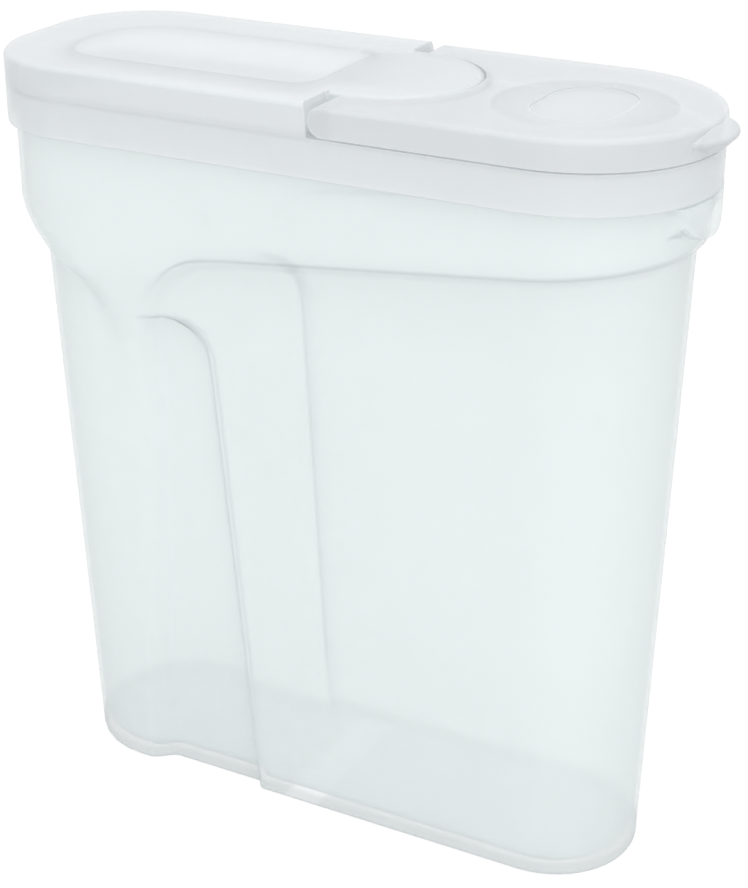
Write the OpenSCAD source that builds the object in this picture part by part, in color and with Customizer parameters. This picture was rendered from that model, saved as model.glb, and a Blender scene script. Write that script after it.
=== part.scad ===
// Cereal container with a push-fit lid and a flip spout, in millimetres.
// The base stands on z = 0, X runs along the length towards the spout, and Y runs across the width.

/* [Lid] */
// Length of the lid, without the thumb tab
lid_l = 250; // [236:1:270]
// Width of the lid
lid_w = 92; // [88:0.5:98]
// Height of the closed container
total_h = 272; // [250:1:300]
// Height of the lid's side
skirt_h = 24.6; // [22:0.1:30]
// Height of the raised half of the lid above the line round its side
raised_h = 11; // [10.6:0.1:13]
// Radius of the corners at the handle end of the lid
corner_r = 35.5; // [28:0.5:40]
// Wall of the lid and of the flip cap
lid_wall = 1.2; // [1:0.1:1.6]
// Thickness of the lid's top and of its lower deck
deck_t = 1.5; // [1.2:0.1:2]
// Rounding of the lid's top edge
edge_r = 2.2; // [1.8:0.1:3]

/* [Sunk panel in the fixed deck] */
// Length of the panel
panel_l = 102; // [80:1:110]
// Width of the panel
panel_w = 54; // [40:1:60]
// Depth of the panel
panel_depth = 2; // [1:0.1:3]
// Distance from the panel to the end of the fixed deck
panel_land = 10; // [6:0.5:20]
// Slope of the panel's side, across
panel_slope = 2.4; // [1:0.1:4]
// Radius of the panel's corners at the handle end
panel_far_r = 23; // [12:0.5:26]
// Radius of the panel's corners at the tongue
panel_near_r = 9; // [5:0.5:16]

/* [Flip cap] */
// Radius of the lid's tongue, which the flip cap reaches round
tongue_r = 31; // [26:0.5:32]
// Distance of the hinge axis from the middle of the lid
hinge_x = 13; // [8:0.5:18]
// Radius of the hinge knuckle at the end of each arm
knuckle_r = 5; // [4.8:0.1:5.2]
// Radius of the hinge pins
pin_r = 2; // [1.6:0.1:2.6]
// Length of the hinge pins
pin_l = 3.4; // [2.6:0.1:4]
// Running clearance of a hinge pin in its socket
pin_gap = 0.05; // [0.02:0.01:0.1]
// How far the flip cap opens, in degrees
open_angle = 100; // [80:1:104]
// Clearance between the flip cap and the lid
cap_gap = 0.6; // [0.5:0.05:0.8]
// Drop of the flip cap's top below the fixed deck
cap_drop = 0.7; // [0.4:0.1:0.9]
// Radius of the dish in the flip cap
dish_r = 34; // [31:0.5:36]
// Depth of the dish
dish_depth = 1.3; // [0.8:0.1:1.8]
// Width of the flat well in the dish
well_w = 29; // [20:1:34]
// Length of the flat well, across the cap
well_l = 43; // [36:1:46]
// Depth of the flat well
well_depth = 0.6; // [0.3:0.1:1]
// Width of the thumb tab
tab_w = 32; // [24:1:38]
// How far the thumb tab stands out
tab_out = 5; // [3:0.5:7]
// Thickness of the thumb tab
tab_t = 7.6; // [6:0.2:8.4]

/* [Pour opening] */
// Radius of the pour opening
pour_r = 30; // [26:0.5:31]
// Height of the collar round the pour opening
collar_h = 1.8; // [1:0.1:3]
// Clearance between the plug and the pour opening
plug_gap = 0.7; // [0.5:0.1:1]
// How far the plug reaches below the lower deck
plug_reach = 3; // [1.5:0.1:5]
// Taper of the plug on its radius
plug_taper = 1; // [0.6:0.1:2]

/* [Snap rim] */
// Wall of the tub
tub_wall = 1.5; // [1.2:0.1:2]
// Gap between the lid's side and the bead on the rim
bead_gap = 0.7; // [0.65:0.05:0.9]
// How far the bead stands out of the rim
bead_out = 0.7; // [0.4:0.1:1]
// Gap between the rim and the lid's parts round it
rim_gap = 0.4; // [0.3:0.05:0.6]
// How deep the lid's inner ring reaches into the tub
ring_h = 5; // [3:0.5:8]
// How far each catch stands out of the lid's side
catch_out = 0.35; // [0.2:0.05:0.35]
// Length of each catch
catch_l = 14; // [8:1:20]
// Height of each catch
catch_h = 2.8; // [2.4:0.1:3]
// Distance of the end catches from the round ends of the lid
catch_end = 20; // [12:1:40]
// Height of the bead on the rim
bead_h = 2.8; // [2.4:0.1:3]

/* [Tub] */
// Half-width of the tub at its base
base_half_w = 31.2; // [28:0.1:34]
// Draft of the tub's sides and spout end, in degrees
draft = 1.6; // [0.5:0.1:2.2]
// Inset of the band below the lid
band_inset = 2.8; // [2.6:0.1:4]
// Thickness of the floor
floor_t = 2.4; // [1.6:0.1:4]
// Radius between the floor and the sides, inside
floor_r = 7; // [3:0.5:10]
// Rounding of the outer edge of the base
foot_r = 1.5; // [0.5:0.1:2.5]
// Centre of the spout end of the body, from the middle of the lid
spout_end_x = 81; // [76:0.5:84]

/* [Shoulder] */
// Height of the shoulder at mid length
shoulder_z = 214.6; // [205:0.5:220]
// Rise of the shoulder towards the spout, in degrees
shoulder_tilt = 6.5; // [3:0.5:7]
// Half the height over which the shoulder turns in
shoulder_soft = 3; // [2:0.5:4]
// Rise of the shoulder round the handle end
handle_rise = 13; // [6:1:15]
// Half the height of the long blend above the handle
tongue_soft = 25; // [12:1:28]
// Dip of the shoulder above the handle
tongue_drop = 22; // [8:1:24]
// Spread of that dip along the length
tongue_spread = 16.8; // [14:0.2:19]

/* [Handle] */
// Position of the handle's end at the base, from the middle of the lid
handle_end_x = 108; // [104:0.5:110]
// Lean of the handle's end, in degrees
handle_lean = 2.2; // [1:0.1:2.4]
// Half-width of the handle at the base
handle_half_w = 32.9; // [30:0.1:34]
// Depth of the grip recess
grip_depth = 4; // [2:0.1:5]
// Height of the top of the grip recess
grip_top = 186; // [170:1:188]
// Radius of the recess's upper corner
grip_r = 13; // [8:0.5:16]
// Position of the recess's front edge at the base, from the middle of the lid
grip_front_x = 25.5; // [22:0.5:30]
// Lean of the recess's front edge, in degrees
grip_lean = 4.4; // [3:0.1:5]
// Width of the column behind the recess at the base, from the handle's end
column_w = 41; // [38:0.5:46]
// Lean of the column's edge beside the recess, in degrees
column_lean = 2; // [1:0.1:3]
// Height of the thumb pad below the lid
pad_h = 14; // [8:1:15]
// Width of the thumb pad
pad_w = 39; // [20:1:44]
// How far the thumb pad stands out
pad_out = 3; // [1:0.1:3.4]

/* [Hidden] */

frost = [0.9, 0.94, 0.94, 0.7];
frost_lid = [0.86, 0.9, 0.9, 0.8];
frost_cap = [0.88, 0.91, 0.93, 0.8];

$fn = 96;
half_w = lid_w / 2;
lid_left = -lid_l / 2;
lid_right = lid_l / 2 - half_w;
corner_x = lid_left + corner_r;
corner_y = half_w - corner_r;
skirt_bottom = total_h - skirt_h;
split_z = total_h - raised_h;
lower_top = split_z - cap_gap / 2;
lower_under = lower_top - deck_t;
rim_top = lower_under - rim_gap;
cap_top = total_h - cap_drop;
cap_bottom = split_z + cap_gap / 2;
hinge_z = cap_top - knuckle_r;
deck_end_x = hinge_x - knuckle_r - cap_gap;
arm_in = tongue_r + cap_gap;
spout_x = lid_right + 2;
panel_near_x = deck_end_x - panel_land - panel_near_r;
panel_far_x = deck_end_x - panel_land - panel_l + panel_far_r;

rim_inset = lid_wall + bead_gap + bead_out;
rim_in = rim_inset + tub_wall;
ring_out = rim_in + rim_gap;
catch_low = skirt_bottom + 1;
catch_gap = 0.2;
bead_z = catch_low + catch_h + catch_gap + bead_h / 2;
bead_flat = 0.5;
rim_round = 0.5;
pin_root = 2;
swing_room = 0.4;
socket_l = pin_l + 1;
tongue_wall = lid_wall + 1;
tab_low = cap_bottom + 0.6;
over = 1;

// Plan of the lid, drawn in by a distance
module plan(inset = 0) {
  translate([lid_right, 0])
    circle(half_w - inset);
  translate([corner_x, inset - half_w])
    square([lid_right - corner_x, lid_w - 2 * inset]);
  for (side = [-1, 1])
    translate([corner_x, side * corner_y])
      circle(corner_r - inset);
  translate([lid_left + inset, -corner_y])
    square([corner_r, 2 * corner_y]);
}

// Carries a section round the lid's plan. The section's x is the distance outside the plan.
module round_plan() {
  translate([lid_right, 0, 0])
    rotate([0, 0, -90])
      rotate_extrude(angle = 180)
        translate([half_w, 0])
          children();
  for (side = [0, 1])
    mirror([0, side, 0]) {
      translate([corner_x, 0, 0])
        rotate([90, 0, 90])
          linear_extrude(lid_right - corner_x)
            translate([half_w, 0])
              children();
      translate([corner_x, corner_y, 0])
        rotate([0, 0, 90])
          rotate_extrude(angle = 90)
            translate([corner_r, 0])
              children();
    }
  translate([lid_left, -corner_y, 0])
    rotate([90, 0, 180])
      linear_extrude(2 * corner_y)
        children();
}

// Solid of the lid's plan between two heights, with a rounded top edge
module block(inset, low, high, round_r) {
  translate([0, 0, low])
    linear_extrude(high - low)
      plan(inset + round_r);
  round_plan() {
    translate([-inset - round_r, low])
      square([round_r, high - low - round_r]);
    intersection() {
      translate([-inset - round_r, high - round_r])
        circle(round_r);
      translate([-inset - round_r, high - round_r])
        square(round_r);
    }
  }
}

// Plan of the fixed half of the lid, with its tongue, drawn in by a distance
module fixed_plan(inset = 0) {
  translate([lid_left - 1, -lid_w])
    square([deck_end_x - inset - lid_left + 1, 2 * lid_w]);
  translate([0, inset - tongue_r])
    square([hinge_x, 2 * (tongue_r - inset)]);
  translate([hinge_x, 0])
    circle(tongue_r - inset);
}

// Plan that the flip cap covers, drawn in by a distance
module cap_plan(inset = 0) {
  difference() {
    translate([hinge_x + inset, -lid_w])
      square([lid_l, 2 * lid_w]);
    translate([hinge_x, 0])
      circle(arm_in + inset);
  }
}

// Side of the lid: a thin wall with a rounded lower edge
module skirt() {
  round_plan() {
    translate([-lid_wall, skirt_bottom + lid_wall / 2])
      square([lid_wall, lower_top - skirt_bottom - lid_wall / 2]);
    translate([-lid_wall / 2, skirt_bottom + lid_wall / 2])
      circle(lid_wall / 2);
  }
}

// Short catches inside the skirt, ramped above and below, under the rim's bead
module catches() {
  root = lid_wall / 6;
  flat = 0.6;
  for (side = [0, 1], x = [corner_x + catch_end, 0, lid_right - catch_end])
    mirror([0, side, 0])
      translate([x - catch_l / 2, 0, 0])
        rotate([90, 0, 90])
          linear_extrude(catch_l)
            translate([half_w - lid_wall, catch_low])
              polygon([
                [root, 0],
                [0, 0],
                [-catch_out, catch_h / 2],
                [-catch_out, catch_h - flat],
                [0, catch_h],
                [root, catch_h],
              ]);
}

// Sunk panel of the fixed deck as a solid to cut away. Its side slopes in all round: cones at
// the four corners, one trough along the deck, and one across to each end.
module panel_cut() {
  above = 0.5;
  h = panel_depth + above;
  grow = panel_slope * above / panel_depth;
  wide = panel_w / 2;
  translate([0, 0, total_h - panel_depth]) {
    for (side = [-1, 1]) {
      translate([panel_far_x, side * (wide - panel_far_r), 0])
        cylinder(r1 = panel_far_r - panel_slope, r2 = panel_far_r + grow, h = h);
      translate([panel_near_x, side * (wide - panel_near_r), 0])
        cylinder(r1 = panel_near_r - panel_slope, r2 = panel_near_r + grow, h = h);
    }
    translate([panel_far_x, 0, 0])
      rotate([90, 0, 90])
        linear_extrude(panel_near_x - panel_far_x)
          trough(-wide, wide, grow, h);
    rotate([90, 0, 0]) {
      linear_extrude(2 * (wide - panel_far_r), center = true)
        trough(panel_far_x - panel_far_r, panel_near_x, grow, h);
      linear_extrude(2 * (wide - panel_near_r), center = true)
        trough(panel_far_x, panel_near_x + panel_near_r, grow, h);
    }
  }
}

// Section of a trough between two points, with the panel's sloping sides
module trough(start, stop, grow, h) {
  polygon([
    [start + panel_slope, 0],
    [stop - panel_slope, 0],
    [stop + grow, h],
    [start - grow, h],
  ]);
}

// Plan of the sunk panel: wide round corners at the handle end and small ones at the tongue
module panel_plan(out) {
  wide = panel_w / 2;
  for (side = [-1, 1]) {
    translate([panel_far_x, side * (wide - panel_far_r)])
      circle(panel_far_r + out);
    translate([panel_near_x, side * (wide - panel_near_r)])
      circle(panel_near_r + out);
  }
  translate([panel_far_x, -wide - out])
    square([panel_near_x - panel_far_x, panel_w + 2 * out]);
  translate([panel_far_x - panel_far_r - out, panel_far_r - wide])
    square([panel_far_r, panel_w - 2 * panel_far_r]);
  translate([panel_near_x, panel_near_r - wide])
    square([panel_near_r + out, panel_w - 2 * panel_near_r]);
}

// The room that the knuckles sweep, and the sloping stop that the open cap rests on
module knuckle_room() {
  stop = knuckle_r + cap_gap;
  for (side = [0, 1])
    mirror([0, side, 0])
      translate([hinge_x, arm_in - cap_gap, hinge_z]) {
        rotate([-90, 0, 0])
          cylinder(r = stop, h = lid_w);
        translate([0, -swing_room, 0])
          rotate([0, -open_angle, 0])
            cube([3 * knuckle_r, lid_w, stop]);
        translate([-over, 0, 0])
          cube([stop, lid_w, 2 * knuckle_r]);
      }
}

// Raised fixed deck, with a tongue whose top edge is rounded as the lid's own edge is
module fixed_deck() {
  intersection() {
    block(0, lower_under, total_h, edge_r);
    translate([lid_left - 1, -lid_w, lower_under])
      cube([deck_end_x - lid_left + 1, 2 * lid_w, total_h]);
  }
  translate([hinge_x, 0, 0])
    rotate_extrude()
      tongue_section();
  for (side = [0, 1])
    mirror([0, side, 0])
      rotate([90, 0, 90])
        linear_extrude(hinge_x)
          tongue_section();
}

// Half section of the tongue, from its middle to its side
module tongue_section() {
  translate([0, lower_under])
    square([tongue_r - edge_r, total_h - lower_under]);
  translate([0, lower_under])
    square([tongue_r, total_h - lower_under - edge_r]);
  intersection() {
    translate([tongue_r - edge_r, total_h - edge_r])
      circle(edge_r);
    translate([tongue_r - edge_r, total_h - edge_r])
      square(edge_r);
  }
}

// Push-fit lid: skirt, raised fixed deck with its tongue, lower deck with the pour opening
module lid() {
  color(frost_lid)
    difference() {
      union() {
        skirt();
        catches();
        fixed_deck();
        translate([0, 0, lower_under])
          linear_extrude(deck_t)
            plan(lid_wall / 2);
        round_plan()
          translate([-ring_out - lid_wall, lower_under - ring_h])
            square([lid_wall, ring_h + deck_t / 2]);
        translate([spout_x, 0, lower_under])
          cylinder(r = pour_r + lid_wall, h = deck_t + collar_h);
      }
      knuckle_room();
      deck_hollow();
      translate([spout_x, 0, lower_under - over])
        cylinder(r = pour_r, h = deck_t + collar_h + 2 * over);
      for (side = [-1, 1])
        translate([hinge_x, side * (tongue_r + over), hinge_z])
          rotate([side * 90, 0, 0])
            cylinder(r = pin_r + pin_gap, h = socket_l + over);
      panel_cut();
    }
}

// Hollow under the fixed deck, left open to the tub, with bosses kept round the hinge sockets
module deck_hollow() {
  difference() {
    intersection() {
      block(lid_wall, lower_top, total_h - deck_t, edge_r - lid_wall);
      translate([0, 0, lower_top])
        linear_extrude(raised_h)
          fixed_plan(lid_wall);
    }
    under_panel();
    socket_bosses();
  }
  translate([0, 0, lower_under - over])
    linear_extrude(deck_t + 2 * over)
      intersection() {
        plan(ring_out + lid_wall);
        fixed_plan(lid_wall);
      }
}

module socket_bosses() {
  boss_r = min(pin_r + 2, knuckle_r - 1);
  for (side = [-1, 1])
    translate([hinge_x, side * tongue_r, hinge_z])
      rotate([side * 90, 0, 0])
        cylinder(r = boss_r, h = socket_l + lid_wall);
}

// Material kept below the sunk panel, so that the deck keeps its thickness there
module under_panel() {
  translate([0, 0, total_h - panel_depth - deck_t])
    linear_extrude(panel_depth + deck_t)
      panel_plan(lid_wall);
}

// Flip spout: the hinged half of the top, with arms, pins, dish, plug and thumb tab
module flip_cap() {
  color(frost_cap)
    difference() {
      union() {
        difference() {
          union() {
            intersection() {
              block(0, cap_bottom, cap_top, edge_r);
              translate([0, 0, cap_bottom])
                linear_extrude(raised_h)
                  cap_plan();
            }
            intersection() {
              block(0, cap_bottom, cap_top, edge_r);
              knuckles();
            }
            thumb_tab();
          }
          cap_hollow();
        }
        dish_floor();
        plug();
        hinge_pins();
      }
      dish_cut();
    }
}

// Round ends of the two arms, and the pins that run in the lid's sockets
module knuckles() {
  for (side = [0, 1])
    mirror([0, side, 0])
      translate([hinge_x, arm_in, hinge_z])
        rotate([-90, 0, 0])
          cylinder(r = knuckle_r, h = half_w);
}

module hinge_pins() {
  for (side = [-1, 1])
    translate([hinge_x, side * (arm_in + pin_root), hinge_z])
      rotate([side * 90, 0, 0])
        cylinder(r = pin_r, h = pin_l + pin_root);
}

// Hollow under the cap, open below
module cap_hollow() {
  intersection() {
    block(lid_wall, cap_bottom - over, cap_top - deck_t, edge_r - lid_wall);
    translate([0, 0, cap_bottom - over])
      linear_extrude(raised_h)
        cap_plan(tongue_wall);
  }
}

// Thicker floor under the dish, inside the plug
module dish_floor() {
  low = cap_top - dish_depth - well_depth - lid_wall;
  translate([spout_x, 0, low])
    cylinder(r = pour_r - plug_gap, h = cap_top - deck_t / 2 - low);
}

// Shallow conical dish with a flat oblong well in its middle
module dish_cut() {
  translate([spout_x, 0, cap_top - dish_depth])
    cylinder(r1 = well_l / 2 + 1, r2 = dish_r, h = dish_depth);
  translate([spout_x, 0, cap_top - dish_depth - well_depth])
    linear_extrude(well_depth + over) {
      for (side = [-1, 1])
        translate([0, side * (well_l - well_w) / 2])
          circle(well_w / 2);
      square([well_w, well_l - well_w], center = true);
    }
}

// Plug ring under the cap, tapered so that it swings clear of the opening
module plug() {
  top = cap_top - deck_t / 2;
  low = lower_under - plug_reach;
  outer = pour_r - plug_gap;
  translate([spout_x, 0, 0])
    rotate_extrude()
      polygon([
        [outer - lid_wall - plug_taper, low],
        [outer - plug_taper, low],
        [outer, lower_top + collar_h],
        [outer, top],
        [outer - lid_wall, top],
        [outer - lid_wall, lower_top + collar_h],
      ]);
}

// Thumb tab: a segment of a round-nosed disc, thick at its root and slim at its nose
module thumb_tab() {
  chord_r = (tab_w * tab_w / 4 + tab_out * tab_out) / (2 * tab_out);
  tab_r = chord_r * 0.78;
  nose_r = 1.4;
  nose_in = 0.5;
  nose_z = tab_low + tab_t * 0.54;
  under_in = 3.4;
  top_in = 4;
  translate([lid_l / 2 + tab_out - tab_r, 0, 0])
    rotate_extrude() {
      polygon([
        [0, tab_low],
        [tab_r - under_in, tab_low],
        [tab_r - nose_in, nose_z - 0.9],
        [tab_r - nose_in, nose_z + 1],
        [tab_r - top_in, tab_low + tab_t],
        [0, tab_low + tab_t],
      ]);
      translate([tab_r - nose_r, nose_z])
        circle(nose_r);
    }
}

// The tub is a skin of rings. Each ring runs round one half of the plan from the handle end
// to the spout end in numbered columns, and each column follows the same feature at every height.

function smooth(t) = let (u = min(1, max(0, t))) u * u * (3 - 2 * u);
function mix(a, b, t) = a + (b - a) * t;
function bell(t) = exp(-t * t);

end_steps = 9;
flat_steps = 2;
handle_flat = 1.5;
handle_share = 0.8;
end_crown = 0.2;
nose_crowding = 1.25;
side_steps = 23;
nose_steps = 15;
last_col = end_steps + side_steps + nose_steps;

// Sizes of the body's plan at a height
function body_half(z) = base_half_w + z * tan(draft);
function handle_half(z) = handle_half_w + z * tan(draft) * handle_share;
function handle_tip(z) = -handle_end_x - z * tan(handle_lean);

// Corner at the handle end: a short flat, then an arc. Column i runs from 0 to end_steps.
function end_point(i, tip, half, r) =
  i <= flat_steps
    ? [tip - end_crown * (1 - pow(i / flat_steps, 2)), (half - r) * i / flat_steps]
    : let (a = 90 * (i - flat_steps) / (end_steps - flat_steps))
      [tip + r - r * cos(a), half - r + r * sin(a)];

// Round spout end. Column k runs from 0 to nose_steps, closer together near the tip.
function nose_point(k, centre, r) =
  let (a = 90 * pow(1 - k / nose_steps, nose_crowding))
  [centre + r * cos(a), r * sin(a)];

// Front edge of the grip recess, which leans back and rounds over at its top
function grip_front(z) =
  let (
    z_r = min(z, grip_top) - (grip_top - grip_r),
    lean_x = -grip_front_x - min(z, grip_top - grip_r) * tan(grip_lean)
  )
  z_r <= 0 ? lean_x : lean_x - grip_r + sqrt(max(0, grip_r * grip_r - z_r * z_r));
function grip_back(z) = column_w - handle_end_x + min(z, grip_top) * tan(column_lean);

// Side columns: the column of the handle, its fillet, the recess, the recess's edge, the main face
fillet_cols = [3, 9];
edge_cols = [13, 17];
fillet_half = 5;
edge_w = 2;
face_crowding = 1.4;
function side_x(j, z, start, stop, shift) =
  let (
    back = grip_back(z) - shift,
    front = grip_front(z) + shift,
    f0 = fillet_cols[0],
    f1 = fillet_cols[1],
    e0 = edge_cols[0],
    e1 = edge_cols[1]
  )
  j <= f0 ? mix(start, back - fillet_half, j / f0)
  : j <= f1 ? back + fillet_half * (2 * (j - f0) / (f1 - f0) - 1)
  : j <= e0 ? mix(back + fillet_half, front, (j - f1) / (e0 - f1))
  : j <= e1 ? front + edge_w * (j - e0) / (e1 - e0)
  : mix(front + edge_w, stop, pow((j - e1) / (side_steps - e1), face_crowding));

function side_y(j, z, recess) =
  let (
    f0 = fillet_cols[0],
    f1 = fillet_cols[1],
    e0 = edge_cols[0],
    e1 = edge_cols[1],
    low = body_half(z) - recess
  )
  j <= f1 ? mix(handle_half(z), low, smooth((j - f0) / (f1 - f0)))
  : mix(low, body_half(z), smooth((j - e0) / (e1 - e0)));

// A point of the body below the shoulder
function body_point(i, z, recess, inset) =
  let (
    half = handle_half(z) - inset,
    r = handle_half_w - handle_flat - inset,
    tip = handle_tip(z) + inset,
    j = i - end_steps,
    shift = inset > 0 ? min(inset, 1.2) : 0
  )
  j <= 0 ? end_point(i, tip, half, r)
  : j < side_steps
    ? [side_x(j, z, tip + r, spout_end_x, shift), side_y(j, z, recess) - inset]
  : nose_point(j - side_steps, spout_end_x, body_half(z) - inset);

// A point of the band above the shoulder, which follows the lid's plan
function band_point(i, inset) =
  let (
    j = i - end_steps,
    x0 = corner_x,
    x1 = lid_right
  )
  j <= 0 ? end_point(i, lid_left + inset, half_w - inset, corner_r - inset)
  : j < side_steps ? [side_x(j, grip_top, x0, x1, 0), half_w - inset]
  : nose_point(j - side_steps, x1, half_w - inset);

// Height and softness of the shoulder at a place along the length. It dips and grows soft where
// the band flows down into the handle's column, and rises again round the handle's end.
tongue_x = handle_tip(grip_top) + column_w + 5;
function tongue(x, spread) = bell((x - tongue_x) / spread);
end_blend = corner_r - 6;
end_soft = 4;
function round_end(x) = smooth((lid_left + corner_r - x) / end_blend);
function shoulder_mid(x) =
  shoulder_z + x * tan(shoulder_tilt) - tongue_drop * tongue(x, tongue_spread)
  + handle_rise * round_end(x);
function shoulder_half(x) =
  shoulder_soft + tongue_soft * tongue(x, tongue_spread * 0.66) + end_soft * round_end(x);

// Share of the band in the form at a point: 0 below the shoulder and 1 above it
function share(x, z) =
  smooth((z - shoulder_mid(x) + shoulder_half(x)) / (2 * shoulder_half(x)));

// Thumb pad under the lid at the spout end: a half disc with a crisp lower edge
pad_half = pad_w / 2;
pad_round = 0.8;
function under_pad(p) = p[0] > lid_right && abs(p[1]) < pad_half - 0.5;
function pad_edge(y) = skirt_bottom - pad_h * sqrt(1 - pow(y / pad_half, 2));

// Rows below the shoulder: height and recess depth. The last two make the recess's top edge.
body_rows = [
  for (t = [0.012, 0.16, 0.36, 0.56, 0.74, 0.86]) [grip_top * t, grip_depth],
  for (a = [0, 25, 45, 62, 78]) [grip_top - grip_r + grip_r * sin(a), grip_depth],
  [grip_top - 0.3, grip_depth * 0.8],
  [grip_top + 1, 0],
];
turn_rows = [0, 0.14, 0.3, 0.44, 0.58, 0.72, 0.86, 1];
inner_turns = [6, 4, 3, 1, 0];
band_rows = 5;
band_top = skirt_bottom - 0.5;

// Point between the body's and the band's, by the share of the band
function blended(p, q, z) =
  let (s = share(q[0], z))
  [mix(p[0], q[0], s), mix(p[1], q[1], s), z];

// Rows up the body, which bulge towards the band where the shoulder dips
function body_ring(row, inset) = [
  for (i = [0:last_col])
    let (q = band_point(i, band_inset + inset))
    blended(body_point(i, row[0], row[1], inset), q, row[0])
];

// Rows through the shoulder, from the body's plan out to the band's
function turn_ring(t, inset) = [
  for (i = [0:last_col])
    let (
      q = band_point(i, band_inset + inset),
      low = max(grip_top + 2, shoulder_mid(q[0]) - shoulder_half(q[0])),
      z = mix(low, shoulder_mid(q[0]) + shoulder_half(q[0]), t)
    )
    blended(body_point(i, z, 0, inset), q, z)
];
// Rows up the band. Under the pad they crowd together along its lower edge.
function band_ring(k, inset) = [
  for (i = [0:last_col])
    let (
      q = band_point(i, band_inset + inset),
      low = shoulder_mid(q[0]) + shoulder_half(q[0])
    )
    k > 0 && under_pad(q)
      ? let (
          edge = pad_edge(q[1]),
          z = k == 1 ? edge : mix(edge + pad_round, band_top, (k - 2) / (band_rows - 2)),
          out = k == 1 ? 0 : pad_out,
          d = norm([q[0] - lid_right, q[1]])
        )
        [q[0] + out * (q[0] - lid_right) / d, q[1] + out * q[1] / d, z]
      : [q[0], q[1], mix(low, band_top, k / band_rows)]
];

// Rows of the rim and its bead
function rim_ring(z, inset) = [
  for (i = [0:last_col])
    let (q = band_point(i, inset))
    [q[0], q[1], z]
];

// Rows of the base's rounded edge and of the floor's
function base_ring(z, inset) = [
  for (i = [0:last_col])
    let (p = body_point(i, z, grip_depth, inset))
    [p[0], p[1], z]
];

// Outer rings from the base to the rim, then inner rings back down to the floor
outer_rings = concat(
  [for (a = [0, 45, 90]) base_ring(foot_r * (1 - cos(a)), foot_r * (1 - sin(a)))],
  [for (row = body_rows) body_ring(row, 0)],
  [for (t = turn_rows) turn_ring(t, 0)],
  [for (k = [1:band_rows]) band_ring(k, 0)],
  [
    rim_ring(band_top + 0.15, rim_inset),
    rim_ring(bead_z - bead_h / 2, rim_inset),
    rim_ring(bead_z - bead_flat, rim_inset - bead_out),
    rim_ring(bead_z + bead_flat, rim_inset - bead_out),
    rim_ring(bead_z + bead_h / 2, rim_inset),
    rim_ring(rim_top - rim_round, rim_inset),
    rim_ring(rim_top, rim_inset + rim_round),
  ]
);
inner_rows = [12, 11, 10, 8, 6, 4, 2];
inner_rings = concat(
  [
    rim_ring(rim_top, rim_in - 0.3),
    rim_ring(rim_top - rim_round, rim_in),
    rim_ring(skirt_bottom + 0.6, rim_in),
  ],
  [for (k = [band_rows - 1, 0]) band_ring(k, tub_wall)],
  [for (k = inner_turns) turn_ring(turn_rows[k], tub_wall)],
  [for (k = inner_rows) body_ring(body_rows[k], tub_wall)],
  [for (a = [90, 60, 30, 0])
    base_ring(floor_t + floor_r * (1 - cos(a)), tub_wall + floor_r * (1 - sin(a)))]
);

// Closes each half ring with its mirror image
function whole(ring) = concat(
  ring,
  [for (i = [last_col - 1:-1:1]) [ring[i][0], -ring[i][1], ring[i][2]]]
);

module skin(rings) {
  n = len(rings[0]);
  m = len(rings);
  points = [for (r = rings, p = r) p];
  sides = [
    for (k = [0:m - 2], i = [0:n - 1])
      let (
        a = k * n + i,
        b = k * n + (i + 1) % n,
        c = b + n,
        d = a + n
      )
      each [[a, b, c], [a, c, d]]
  ];
  // Each end is closed straight across, between the two halves of its ring
  half = n / 2;
  ends = [
    for (e = [0, m - 1], i = [0:half - 1])
      let (
        o = e * n,
        a = o + i,
        b = o + i + 1,
        c = o + (n - i - 1) % n,
        d = o + (n - i) % n,
        quads = i == 0 ? [[a, c, b]] : i == half - 1 ? [[a, d, b]] : [[a, d, c], [a, c, b]]
      )
      each e == 0 ? quads : [for (f = quads) [f[2], f[1], f[0]]]
  ];
  polyhedron(points, concat(sides, ends), convexity = 6);
}

// Tub: floor, body, handle with its grip recesses, shoulder, band and beaded rim
module tub() {
  color(frost)
    skin([for (r = concat(outer_rings, inner_rings)) whole(r)]);
}

tub();
lid();
flip_cap();
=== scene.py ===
import math

import bpy
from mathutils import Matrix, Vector

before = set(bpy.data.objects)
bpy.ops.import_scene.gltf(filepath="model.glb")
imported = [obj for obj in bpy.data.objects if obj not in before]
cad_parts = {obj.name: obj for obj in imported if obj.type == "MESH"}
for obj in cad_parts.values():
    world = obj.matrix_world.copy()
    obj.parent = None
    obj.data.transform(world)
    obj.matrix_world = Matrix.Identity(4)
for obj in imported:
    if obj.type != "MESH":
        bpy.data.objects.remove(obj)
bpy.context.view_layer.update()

# The tub: a deep keeper body with a grip recess on each side. It is one injection moulding in
# natural polypropylene, satin all over and milky, so one sees its floor and its far edges through
# the near wall. Its floor is thicker than its sides and looks denser; its darker colour is partly
# that thickness and partly painted shade. Thin lines of painted shade follow its sharp turns.
TUB_COLOUR = (0.902, 0.953, 0.955)
TUB_VEIL = 0.46
TUB_GRAIN = 900.0
TUB_ROUGHNESS = 0.48
# Painted shade: how far the tub's colour darkens at its turned edges.
TUB_EDGE_SHADE = 0.34


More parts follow.
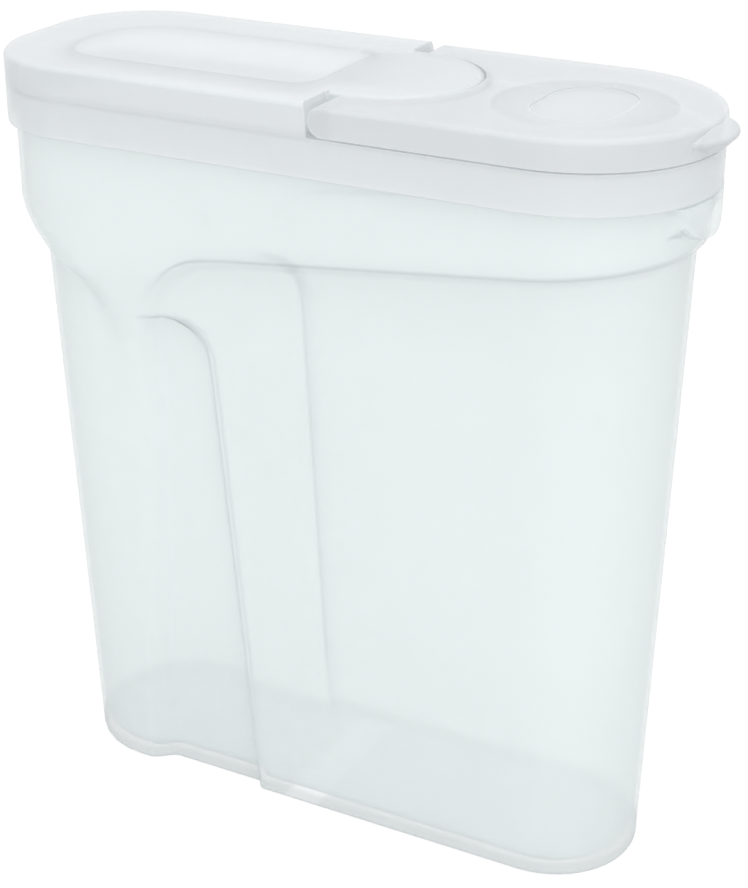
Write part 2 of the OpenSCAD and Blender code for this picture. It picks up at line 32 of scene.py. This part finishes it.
class Socket:
    """A shader socket that can be added, multiplied and so on like a number."""

    def __init__(self, tree, out):
        self.tree = tree
        self.out = out

    def worked(self, operation, other=0.0, turned=False):
        pair = (other, self) if turned else (self, other)
        return node(self.tree, "ShaderNodeMath", {"operation": operation}, {0: pair[0], 1: pair[1]})

    def __add__(self, other):
        return self.worked("ADD", other)

    __radd__ = __add__

    def __sub__(self, other):
        return self.worked("SUBTRACT", other)

    def __rsub__(self, other):
        return self.worked("SUBTRACT", other, turned=True)

    def __mul__(self, other):
        return self.worked("MULTIPLY", other)

    __rmul__ = __mul__

    def __abs__(self):
        return self.worked("ABSOLUTE")

    def at_least(self, other):
        return self.worked("MAXIMUM", other)

    def at_most(self, other):
        return self.worked("MINIMUM", other)

    def faded(self, start, stop):
        """0 up to start and 1 from stop on, with a soft step between."""
        limits = {"Value": self, "From Min": start, "From Max": stop}
        return node(self.tree, "ShaderNodeMapRange", {"interpolation_type": "SMOOTHSTEP"}, limits)


def node(tree, kind, settings=None, inputs=None, out=0):
    """A node with its settings and the values or links of its sockets."""
    made = tree.nodes.new(kind)
    for name, value in (settings or {}).items():
        setattr(made, name, value)
    for name, value in (inputs or {}).items():
        if isinstance(value, Socket):
            tree.links.new(value.out, made.inputs[name])
        else:
            made.inputs[name].default_value = value
    return Socket(tree, made.outputs[out] if made.outputs else None)


def axis(tree, letter):
    """One object coordinate, in metres."""
    place = node(tree, "ShaderNodeTexCoord", out="Object")
    return node(tree, "ShaderNodeSeparateXYZ", inputs={0: place}, out=letter)


def blend(tree, share, first, second):
    """The first colour where share is 0, and the second where it is 1."""
    colours = {0: share, 6: first, 7: second}
    return node(tree, "ShaderNodeMix", {"data_type": "RGBA"}, colours, out=2)


# The walls turn out to the shoulder, which climbs towards the spout and curls down at the handle. A
# thin line of painted shade follows that turn.
SHOULDER_HEIGHT = 0.2166
SHOULDER_SLOPE = 0.1039
SHOULDER_LINE = (0.001, 0.0002)
SHOULDER_START = (-0.067, -0.038)
CURL_AT = -0.0691
CURL_TIGHTNESS = 59.5
CURL_DROP = 0.022


def shoulder_shade_line(x, z):
    """1 along a thin line of painted shade where the walls turn out to the shoulder."""
    dip = (x - CURL_AT) * CURL_TIGHTNESS
    curl = CURL_DROP * (-1.0 * dip * dip).worked("EXPONENT")
    above = z - SHOULDER_SLOPE * x + curl - SHOULDER_HEIGHT
    return abs(above).faded(*SHOULDER_LINE) * x.faded(*SHOULDER_START)


# The grip recess has a leaning front edge and a round top corner. A thin line of painted shade runs
# round it.
RECESS_FRONT = -0.0385
RECESS_LEAN = -0.077
RECESS_TOP = 0.173
RECESS_CORNER = 0.0138
RECESS_LINE = (0.0012, 0.0003)
RECESS_START = (-0.066, -0.048)
RECESS_FACE = (0.0255, 0.0268)
RECESS_FOOT = (0.001, 0.004)


def recess_shade_line(x, y, z):
    """1 along a thin line of painted shade round the grip recess, on both faces of the tub."""
    edge = z.at_most(RECESS_TOP) * RECESS_LEAN + RECESS_FRONT
    ahead = (x - edge).at_least(0.0)
    above = (z - RECESS_TOP).at_least(0.0)
    outside = (ahead * ahead + above * above).worked("SQRT") - RECESS_CORNER
    face = abs(y).faded(*RECESS_FACE) * z.faded(*RECESS_FOOT)
    return abs(outside).faded(*RECESS_LINE) * face * x.faded(*RECESS_START)


# Painted shade along the shoulder and recess lines, which are also a little denser.
LINE_SHADE = 0.38
LINE_VEIL = 0.1
RECESS_WEIGHT = 1.6
FLOOR_TOP = (0.0068, 0.0045)
# The floor's darker colour: partly its thicker plastic, partly painted shade.
FLOOR_THICKNESS_AND_SHADE = 0.31
FLOOR_VEIL = 0.66


def tub_shade_marks(tree):
    """How much darker and denser: the thick floor, darker partly by its thickness and partly by
    painted shade, and the lines of painted shade where the mould turns sharply.
    """
    x, y, z = (axis(tree, letter) for letter in "XYZ")
    line = shoulder_shade_line(x, z).at_least(RECESS_WEIGHT * recess_shade_line(x, y, z))
    floor = z.faded(*FLOOR_TOP)
    # Painted shade along the lines; on the floor, partly thicker plastic and partly painted shade.
    shade_and_tone = LINE_SHADE * line + FLOOR_THICKNESS_AND_SHADE * floor
    return shade_and_tone, LINE_VEIL * line + (FLOOR_VEIL - TUB_VEIL) * floor


EDGE_WIDTH = 0.0009
EDGE_TURN = (0.995, 0.80)
EDGE_VEIL = 0.25
FEW_SAMPLES = 4


def edge_shade_mask(tree):
    """1 where the wall turns a corner, and a rounded normal leaves the true one: painted shade goes
    there.
    """
    rounded = node(tree, "ShaderNodeBevel", {"samples": FEW_SAMPLES}, {"Radius": EDGE_WIDTH})
    true = node(tree, "ShaderNodeNewGeometry", out="Normal")
    dot = {"operation": "DOT_PRODUCT"}
    along = node(tree, "ShaderNodeVectorMath", dot, {0: rounded, 1: true}, out="Value")
    limits = {"Value": along, "From Min": EDGE_TURN[0], "From Max": EDGE_TURN[1]}
    return node(tree, "ShaderNodeMapRange", inputs=limits)


# The dark colour that painted shade, and the thick tub floor and cap tab, blend towards.
SHADE_AND_THICKNESS_COLOUR = (0.30, 0.33, 0.36, 1)
TINT_SWING = 0.02
FLOW_MARKS = {"Scale": 9.0, "Detail": 3.0, "Roughness": 0.55}
FLOW_VEIL = 0.1
MIST = {"Scale": 60.0, "Detail": 4.0}
MIST_ROUGHNESS = 0.12
MIST_HEIGHT = 0.5
SPARK_DETAIL = 2.0
SPARK_STRENGTH = 0.06
SPARK_DEPTH = 0.0004
PLASTIC_IOR = 1.49
GAP_REACH = 0.002
BLACK = (0.0, 0.0, 0.0, 1.0)


def frosted(name, colour, veil, grain, roughness, edge_shade, shade_and_marks, painted_glow=0.0):
    """Milky satin polypropylene: spark grain, slow flow marks, denser where the wall turns, painted
    shade at turned edges and in the piece's own shade marks, and a painted glow in narrow gaps.
    """
    material = bpy.data.materials.new(name)
    material.use_nodes = True
    tree = material.node_tree
    tree.nodes.clear()
    place = {"Vector": node(tree, "ShaderNodeTexCoord", out="Object")}
    flow = node(tree, "ShaderNodeTexNoise", inputs={**place, **FLOW_MARKS})
    mist = node(tree, "ShaderNodeTexNoise", inputs={**place, **MIST})
    spark_marks = {**place, "Scale": grain, "Detail": SPARK_DETAIL}
    spark = node(tree, "ShaderNodeTexNoise", inputs=spark_marks)
    height = spark + MIST_HEIGHT * mist
    relief = {"Strength": SPARK_STRENGTH, "Distance": SPARK_DEPTH, "Height": height}
    pale = tuple(min(1.0, c * (1 + TINT_SWING)) for c in colour) + (1.0,)
    deep = tuple(c * (1 - TINT_SWING) for c in colour) + (1.0,)
    tint = blend(tree, flow, deep, pale)
    edge = edge_shade_mask(tree)
    shade_and_tone, denser = shade_and_marks(tree)
    # The base colour carries painted shade at turned edges and from the piece's shade marks.
    inputs = {
        "Base Color": blend(tree, edge_shade * edge + shade_and_tone, tint, SHADE_AND_THICKNESS_COLOUR),
        "Roughness": roughness - MIST_ROUGHNESS / 2 + MIST_ROUGHNESS * mist,
        "Alpha": veil - FLOW_VEIL / 2 + FLOW_VEIL * flow + EDGE_VEIL * edge + denser,
        "IOR": PLASTIC_IOR,
        "Normal": node(tree, "ShaderNodeBump", inputs=relief),
    }
    if painted_glow:
        # A painted glow: emission in narrow gaps, standing in for the light that creeps through the
        # plastic into them.
        reach = {"Distance": GAP_REACH}
        few = {"samples": FEW_SAMPLES}
        open_air = node(tree, "ShaderNodeAmbientOcclusion", few, reach, out="AO")
        inputs["Emission Color"] = blend(tree, 1 - open_air, BLACK, tint)
        inputs["Emission Strength"] = painted_glow
    shader = node(tree, "ShaderNodeBsdfPrincipled", inputs=inputs)
    node(tree, "ShaderNodeOutputMaterial", inputs={"Surface": shader})
    return material


WELD = 0.00002
SHARP_EDGE = math.radians(42)


def smoothed(piece):
    """Joins the faces of a moulding and shades it smoothly, except at its sharp edges."""
    group = bpy.data.node_groups.new("moulded_" + piece.name, "GeometryNodeTree")
    for way in ("INPUT", "OUTPUT"):
        group.interface.new_socket("Geometry", in_out=way, socket_type="NodeSocketGeometry")
    skin = node(group, "NodeGroupInput")
    old_normals = {"Geometry": skin, "Name": "custom_normal"}
    skin = node(group, "GeometryNodeRemoveAttribute", inputs=old_normals)
    weld = {"Geometry": skin, "Distance": WELD}
    skin = node(group, "GeometryNodeMergeByDistance", inputs=weld)
    skin = node(group, "GeometryNodeSetShadeSmooth", {"domain": "FACE"}, {"Geometry": skin})
    angle = node(group, "GeometryNodeInputMeshEdgeAngle", out="Unsigned Angle")
    less = {"operation": "LESS_THAN"}
    soft = node(group, "FunctionNodeCompare", less, {"A": angle, "B": SHARP_EDGE})
    soft_edges = {"Geometry": skin, "Shade Smooth": soft}
    skin = node(group, "GeometryNodeSetShadeSmooth", {"domain": "EDGE"}, soft_edges)
    node(group, "NodeGroupOutput", inputs={0: skin})
    piece.modifiers.new("moulded", "NODES").node_group = group


def finished(piece, material):
    piece.data.materials.clear()
    piece.data.materials.append(material)


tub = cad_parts["tub"]
tub_plastic = frosted(
    "tub_polypropylene",
    colour=TUB_COLOUR,
    veil=TUB_VEIL,
    grain=TUB_GRAIN,
    roughness=TUB_ROUGHNESS,
    edge_shade=TUB_EDGE_SHADE,
    shade_and_marks=tub_shade_marks,
)
finished(tub, tub_plastic)
smoothed(tub)

# The lid: skirt, fixed deck with its sunk panel, tongue and lower deck, moulded in one. It presses
# over the tub's bead, and it looks whiter than the tub because several walls lie behind each other
# and its narrow gaps carry a painted glow.
LID_COLOUR = (0.768, 0.796, 0.808)
LID_VEIL = 0.62
LID_GRAIN = 1100.0
LID_ROUGHNESS = 0.34
# Painted shade: how far the lid's and cap's colour darkens at their turned edges.
LID_EDGE_SHADE = 0.1
# The strength of the painted glow in the lid's and cap's narrow gaps.
LID_PAINTED_GLOW = 0.2
# Painted shade: the steep sides of the lid and cap are darker than their tops.
SIDE_SHADE = 0.065
SIDE_STEEPNESS = (0.9, 0.3)
SKIRT_TOP = (0.2595, 0.2612)
PANEL_RIM = (0.2712, 0.2702)
PANEL_DEPTH = (0.262, 0.264)
PANEL_FLATNESS = (0.85, 0.97)
PANEL_TONE = -0.04
PANEL_VEIL = 0.12


def upward(tree):
    """1 on faces that look up, 0 on the sides."""
    normal = node(tree, "ShaderNodeNewGeometry", out="Normal")
    return node(tree, "ShaderNodeSeparateXYZ", inputs={0: normal}, out="Z")


def lid_side_shade_and_panel(tree):
    """Painted shade on the steep sides above the skirt, and paler and denser on the sunk panel's
    flat parts.
    """
    z = axis(tree, "Z")
    up = upward(tree)
    panel = z.faded(*PANEL_RIM) * z.faded(*PANEL_DEPTH) * up.faded(*PANEL_FLATNESS)
    side = abs(up).faded(*SIDE_STEEPNESS) * z.faded(*SKIRT_TOP)
    return SIDE_SHADE * side + PANEL_TONE * panel, PANEL_VEIL * panel


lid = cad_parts["lid"]
lid_plastic = frosted(
    "lid_polypropylene",
    colour=LID_COLOUR,
    veil=LID_VEIL,
    grain=LID_GRAIN,
    roughness=LID_ROUGHNESS,
    edge_shade=LID_EDGE_SHADE,
    shade_and_marks=lid_side_shade_and_panel,
    painted_glow=LID_PAINTED_GLOW,
)
finished(lid, lid_plastic)
smoothed(lid)

# The flip cap: the hinged pour spout cover with its dish and thumb tab, moulded in the same
# polypropylene as the lid and pressed by its two pins into the lid's sockets.
CAP_COLOUR = (0.758, 0.785, 0.799)
TAB_START = (0.1235, 0.126)
TAB_TONE = 0.22
TAB_VEIL = 0.2


def cap_side_shade_and_tab(tree):
    """Painted shade at its sides, and deeper and denser in the solid thumb tab."""
    tab = axis(tree, "X").faded(*TAB_START)
    side = abs(upward(tree)).faded(*SIDE_STEEPNESS)
    return (SIDE_SHADE * side).at_least(TAB_TONE * tab), TAB_VEIL * tab


flip_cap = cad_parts["flip_cap"]
cap_plastic = frosted(
    "cap_polypropylene",
    colour=CAP_COLOUR,
    veil=LID_VEIL,
    grain=LID_GRAIN,
    roughness=LID_ROUGHNESS,
    edge_shade=LID_EDGE_SHADE,
    shade_and_marks=cap_side_shade_and_tab,
    painted_glow=LID_PAINTED_GLOW,
)
finished(flip_cap, cap_plastic)
smoothed(flip_cap)

# The floor: a seamless sheet of matt white paper under the tub. It is plain white to the camera,
# in gloss and through the walls, with a soft shadow where the tub stands.
FLOOR_HALF = 3
PAPER_TONES = ((0.78, 0.78, 0.78, 1), (0.8, 0.8, 0.8, 1))
PAPER_FIBRES = {"Scale": 40.0, "Detail": 4.0}
PAPER_ROUGHNESS = 0.9
PAPER_WHITE = 1.05
WHITE = (1, 1, 1, 1)
SHADOW_KEPT = 0.12


def looked_at(tree):
    """1 for what is seen, plainly, in gloss or through a wall, and 0 for light on things."""
    rays = ("Is Camera Ray", "Is Glossy Ray", "Is Transmission Ray")
    plain, gloss, through = (node(tree, "ShaderNodeLightPath", out=ray) for ray in rays)
    return plain.at_least(gloss).at_least(through)


ground = bpy.data.meshes.new("studio_floor")
corners = [(FLOOR_HALF * x, FLOOR_HALF * y, 0) for x, y in ((-1, -1), (1, -1), (1, 1), (-1, 1))]
ground.from_pydata(corners, [], [(0, 1, 2, 3)])
floor = bpy.data.objects.new("studio_floor", ground)
bpy.context.scene.collection.objects.link(floor)
paper = bpy.data.materials.new("white_paper")
paper.use_nodes = True
sheet = paper.node_tree
sheet.nodes.clear()
fibres = node(sheet, "ShaderNodeTexNoise", inputs=PAPER_FIBRES)
matt_inputs = {"Base Color": blend(sheet, fibres, *PAPER_TONES), "Roughness": PAPER_ROUGHNESS}
matt = node(sheet, "ShaderNodeBsdfPrincipled", inputs=matt_inputs)
plain_white = node(sheet, "ShaderNodeEmission", inputs={"Color": WHITE, "Strength": PAPER_WHITE})
share = looked_at(sheet) * (1 - SHADOW_KEPT)
surface = node(sheet, "ShaderNodeMixShader", inputs={0: share, 1: matt, 2: plain_white})
node(sheet, "ShaderNodeOutputMaterial", inputs={"Surface": surface})
finished(floor, paper)

# The studio: an even white surround and two big soft boxes, one over the object and one in front
# of its near side. The surround lights things a little less than it looks.
ROOM_LIGHT = 0.86
LAMP_AIM = (0, 0, 0.15)
world = bpy.data.worlds.new("studio")
world.use_nodes = True
bpy.context.scene.world = world
air = world.node_tree
air.nodes.clear()
strength = looked_at(air) * (1 - ROOM_LIGHT) + ROOM_LIGHT
surround = node(air, "ShaderNodeBackground", inputs={"Color": WHITE, "Strength": strength})
node(air, "ShaderNodeOutputWorld", inputs={"Surface": surround})


def turned_to(place, aim):
    """The turn of a lamp or a camera that stands at place and looks at aim."""
    return (Vector(aim) - Vector(place)).to_track_quat("-Z", "Y")


def soft_box(name, place, size, watts):
    lamp = bpy.data.lights.new(name, "AREA")
    lamp.shape = "SQUARE"
    lamp.size = size
    lamp.energy = watts
    box = bpy.data.objects.new(name, lamp)
    box.location = place
    box.rotation_euler = turned_to(place, LAMP_AIM).to_euler()
    bpy.context.scene.collection.objects.link(box)


soft_box("top_box", place=(0.3, -0.3, 1.65), size=1.4, watts=8.4)
soft_box("front_box", place=(0.9, -1.7, 0.7), size=1.2, watts=6.5)

# The camera: above and in front of the spout's side, at the photograph's angle. Light passes
# enough veils on its way to it that no stack of walls turns black.
LENS = 78.52
SENSOR_WIDTH = 36
SHIFT = (0.0148, -0.0204)
CAMERA_AT = (0.2926, -0.5519, 0.4277)
CAMERA_AIM = (0.0026, 0.0, 0.1437)
VEILS_PASSED = 48
view = bpy.data.cameras.new("camera")
view.lens = LENS
view.sensor_width = SENSOR_WIDTH
view.shift_x, view.shift_y = SHIFT
camera = bpy.data.objects.new("camera", view)
camera.location = CAMERA_AT
camera.rotation_mode = "QUATERNION"
camera.rotation_quaternion = turned_to(CAMERA_AT, CAMERA_AIM)
bpy.context.scene.collection.objects.link(camera)
bpy.context.scene.camera = camera
bpy.context.scene.view_settings.view_transform = "Standard"
bpy.context.scene.cycles.transparent_max_bounces = VEILS_PASSED
